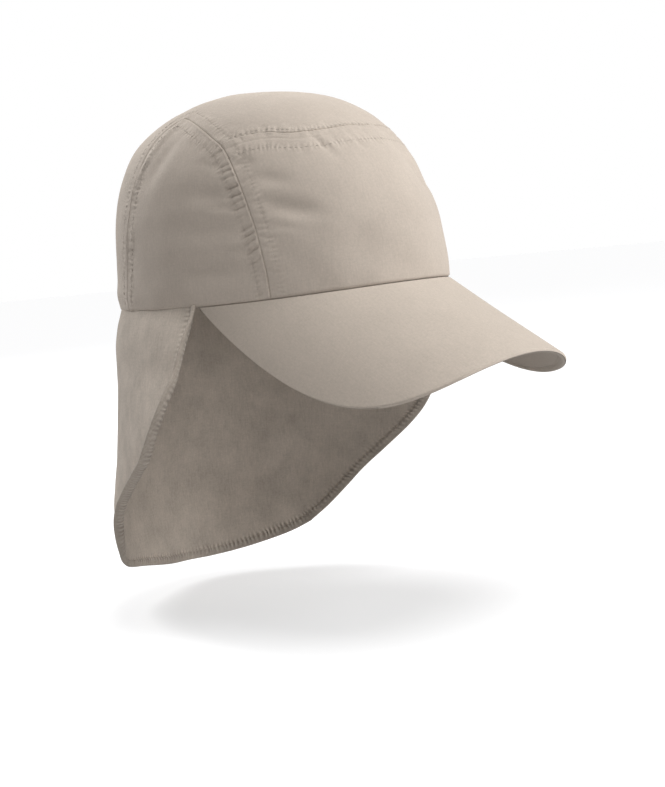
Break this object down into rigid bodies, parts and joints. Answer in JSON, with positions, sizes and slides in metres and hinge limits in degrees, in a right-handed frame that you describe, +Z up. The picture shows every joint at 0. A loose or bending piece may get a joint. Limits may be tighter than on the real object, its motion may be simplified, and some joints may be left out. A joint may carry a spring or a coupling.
{
  "type": "legionnaire cap",
  "caption": "Soft cloth sun cap with a curved visor and a long flap that hangs round the back and sides of the neck.",
  "frame": {"origin": "middle of the head opening, on the plane of the rim at its back and sides", "axes": "+Z up through the crown, -Y towards the tip of the visor, -X the wearer's right"},
  "size_m": [0.2324, 0.2841, 0.2812],
  "materials": {
    "crown_cloth": "fine plain-weave cotton, stone colour, matt",
    "visor_cloth": "fine plain-weave cotton over a thin board, stone colour, matt",
    "flap_cloth": "fine slubby cotton, stone colour, matt",
    "band_cloth": "plain cotton tape, stone colour, matt"
  },
  "bodies": {
    "root": {"front_panel": "crown_cloth", "top_panel": "crown_cloth", "side_panel_right": "crown_cloth", "side_panel_left": "crown_cloth", "visor": "visor_cloth", "neck_flap": "flap_cloth", "sweatband": "band_cloth"}
  },
  "joints": []
}
